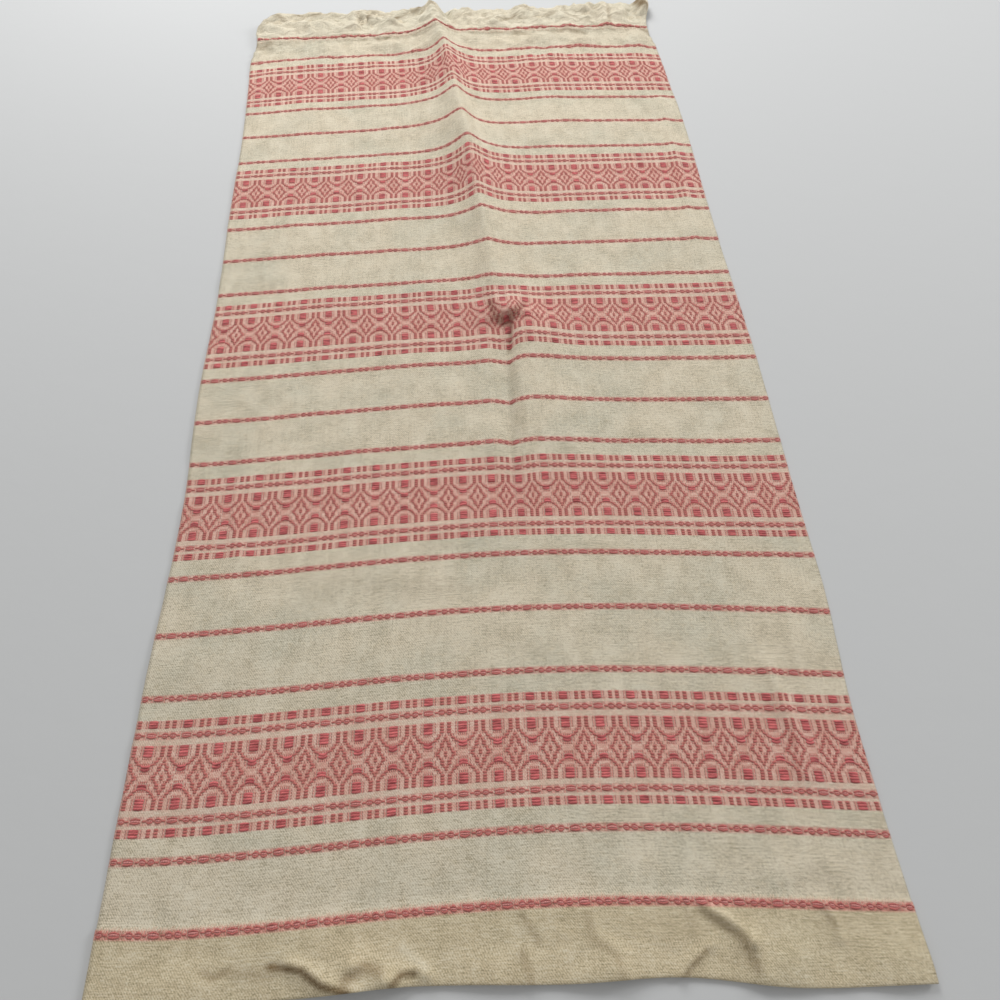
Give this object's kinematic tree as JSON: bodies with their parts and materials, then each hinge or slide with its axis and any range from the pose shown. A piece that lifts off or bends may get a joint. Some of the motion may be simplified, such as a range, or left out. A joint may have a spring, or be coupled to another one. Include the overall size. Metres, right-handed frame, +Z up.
{
  "type": "table runner",
  "caption": "Handwoven table runner laid out flat, with patterned bands and narrow chain stripes across it, a turned hem at each end and a soft storage ridge along its middle.",
  "frame": {"origin": "middle of the cloth's outline, on the surface it lies on", "axes": "+X across the cloth, +Y along it towards the end with the high ridge, +Z up from the surface"},
  "size_m": [0.4682, 0.9962, 0.0199],
  "materials": {
    "woven_cloth": "matt, unbleached cotton and linen ground with raised rose-red pattern threads"
  },
  "bodies": {
    "root": {"runner_cloth": "woven_cloth"}
  },
  "joints": []
}
